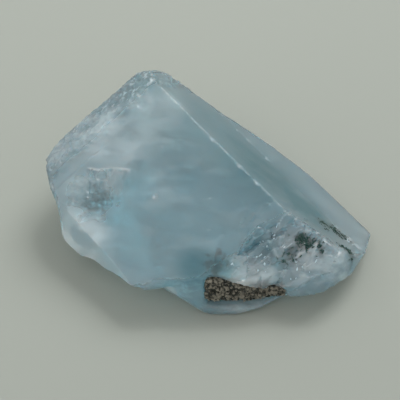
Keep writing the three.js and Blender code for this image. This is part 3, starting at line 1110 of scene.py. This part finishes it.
# %% Fine pegmatite rock
GRAIN, PATCH = 0.45 * MM, 3.5 * MM  # the width of a grain, and of a patch
LIGHT_BROWN, DARK_BROWN, MICA_BLACK = linear("#928e81"), linear("#65645a"), linear("#2e332e")
rock, tree = material("fine_pegmatite_rock")
place = {"Vector": add(tree, "ShaderNodeTexCoord").outputs["Object"]}
cells = add(tree, "ShaderNodeTexVoronoi", {"Scale": 1 / GRAIN}, place)
per_grain = add(tree, "ShaderNodeSeparateColor", links={"Color": cells.outputs["Color"]})
browns = add(
    tree, "ShaderNodeMix",
    {"data_type": "RGBA", "A": LIGHT_BROWN, "B": DARK_BROWN},
    {"Factor": per_grain.outputs["Red"]},
)
patches = add(tree, "ShaderNodeTexNoise", {"Scale": 1 / PATCH, "Detail": 4.0}, place)
mica_share = add(
    tree, "ShaderNodeMapRange",
    {"From Min": 0.46, "From Max": 0.62, "To Max": 0.9},
    {"Value": patches.outputs["Fac"]},
)
mottled = add(
    tree, "ShaderNodeMix",
    {"data_type": "RGBA", "B": MICA_BLACK},
    {"Factor": mica_share.outputs["Result"], "A": socket(browns.outputs, "Result")},
)
rock_shader = add(
    tree, "ShaderNodeBsdfPrincipled", {"Roughness": 0.85},
    {"Base Color": socket(mottled.outputs, "Result")},
)
add(tree, "ShaderNodeOutputMaterial", links={"Surface": rock_shader.outputs["BSDF"]})
crust.data.materials.append(rock)
print("rock:", len(tree.nodes), "nodes")

# %% [markdown]
# Real grains and flakes stand out of the lump wherever its front, its ends or its foot can be seen. They
# are the same Geometry Nodes tree again, with a blocky grain and the mica plate, at about one in eight of
# the lump's points.

# %% Grains and flakes on the crust
# Feldspar breaks along flat cleavages: a dull brown block with a faint shine on its faces.
feldspar = plain_finish("feldspar_grain", "#8d887b", 0.6)
# Mica splits into mirror-flat leaves: nearly black, with a clear glint where a leaf faces the light.
mica = plain_finish("dark_mica_flake", "#33352f", 0.3)
FACES_BACK = 0.3  # the least backward part of a normal that still counts as facing the hollow's wall
shown = [Vector(p) for p, n in zip(lump, normals_of(crust.data)) if n[1] < FACES_BACK]
grains = scattered("feldspar_grains", shown, grain, feldspar, 0.12, 0.4, stray=0.1, share=0.12, seed=4)
flakes = scattered("mica_flakes", shown, flake, mica, 0.15, 0.5, stray=0.15, share=0.14, seed=5)
for shape in (droplet, grain, *plates):
    bpy.data.objects.remove(shape)

# %% [markdown]
# ## Stage and light
#
# A plain matt floor, a pale even sky, and three soft area lights. The large one stands behind the stone
# on the right like a window, and its beam is narrowed so that the floor in front stays calmer than the
# stone. The fill keeps the left side open, and the small one puts glints on edges and facets. The floor
# lies a hair under the stone, because two surfaces in one place render as black blotches.

# %% Floor
FLOOR_HALF = 3.0  # metres
FLOOR_Z = -0.05 * MM
floor = new_object("floor", bpy.data.meshes.new("floor"))
corners = [(x * FLOOR_HALF, y * FLOOR_HALF, FLOOR_Z) for x, y in ((-1, -1), (1, -1), (1, 1), (-1, 1))]
floor.data.from_pydata(corners, [], [(0, 1, 2, 3)])
# Matt paint: it takes a soft shadow and mirrors nothing of the stone.
floor.data.materials.append(plain_finish("matt_pale_floor", "#b0b5ad", 0.9))
print("floor:", 2 * FLOOR_HALF, "m square")

# %% Sky and lights
world = bpy.data.worlds.new("world")
world.use_nodes = True
sky = world.node_tree.nodes["Background"].inputs
sky["Color"].default_value = linear("#ebecea")
sky["Strength"].default_value = 0.62
bpy.context.scene.world = world


def area_light(name, place, size, power, aim=(0, 0, 0), beam=180):
    """A square light. size, place and aim are in metres, power is in watts, and beam is in degrees."""
    data = bpy.data.lights.new(name, "AREA")
    data.size = size
    data.energy = power
    data.spread = math.radians(beam)
    light = bpy.data.objects.new(name, data)
    light.location = place
    light.rotation_euler = (Vector(aim) - Vector(place)).to_track_quat("-Z", "Y").to_euler()
    bpy.context.scene.collection.objects.link(light)


area_light("window", (0.2, 0.5, 0.42), 0.7, 0.75, aim=(0, 0.3, 0), beam=55)
area_light("fill", (-0.5, -0.25, 0.5), 0.8, 0.7)
area_light("sparkle", (0.15, 0.35, 0.75), 0.1, 0.4)
bpy.context.scene.view_settings.view_transform = "Standard"
print("lights:", [light.name for light in bpy.data.lights])

# %% [markdown]
# ## Join the pieces to the imported model
#
# A stone has no moving parts, so every piece rides on the one body, root. The carved crystal and the
# rough lump each stand for their imported solid, and the pieces are printed in two lists, beryl and
# mica_crust.

# %% Join the pieces to the frame
for slot, pieces in {
    "beryl": (crystal, veils, films, slivers),
    "mica_crust": (mica_inside, streak, crust, grains, flakes),
}.items():
    for piece in pieces:
        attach(piece, "root")
    print(slot + ":", ", ".join(piece.name for piece in pieces))
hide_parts("aquamarine_crystal")
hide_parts("matrix_crust")
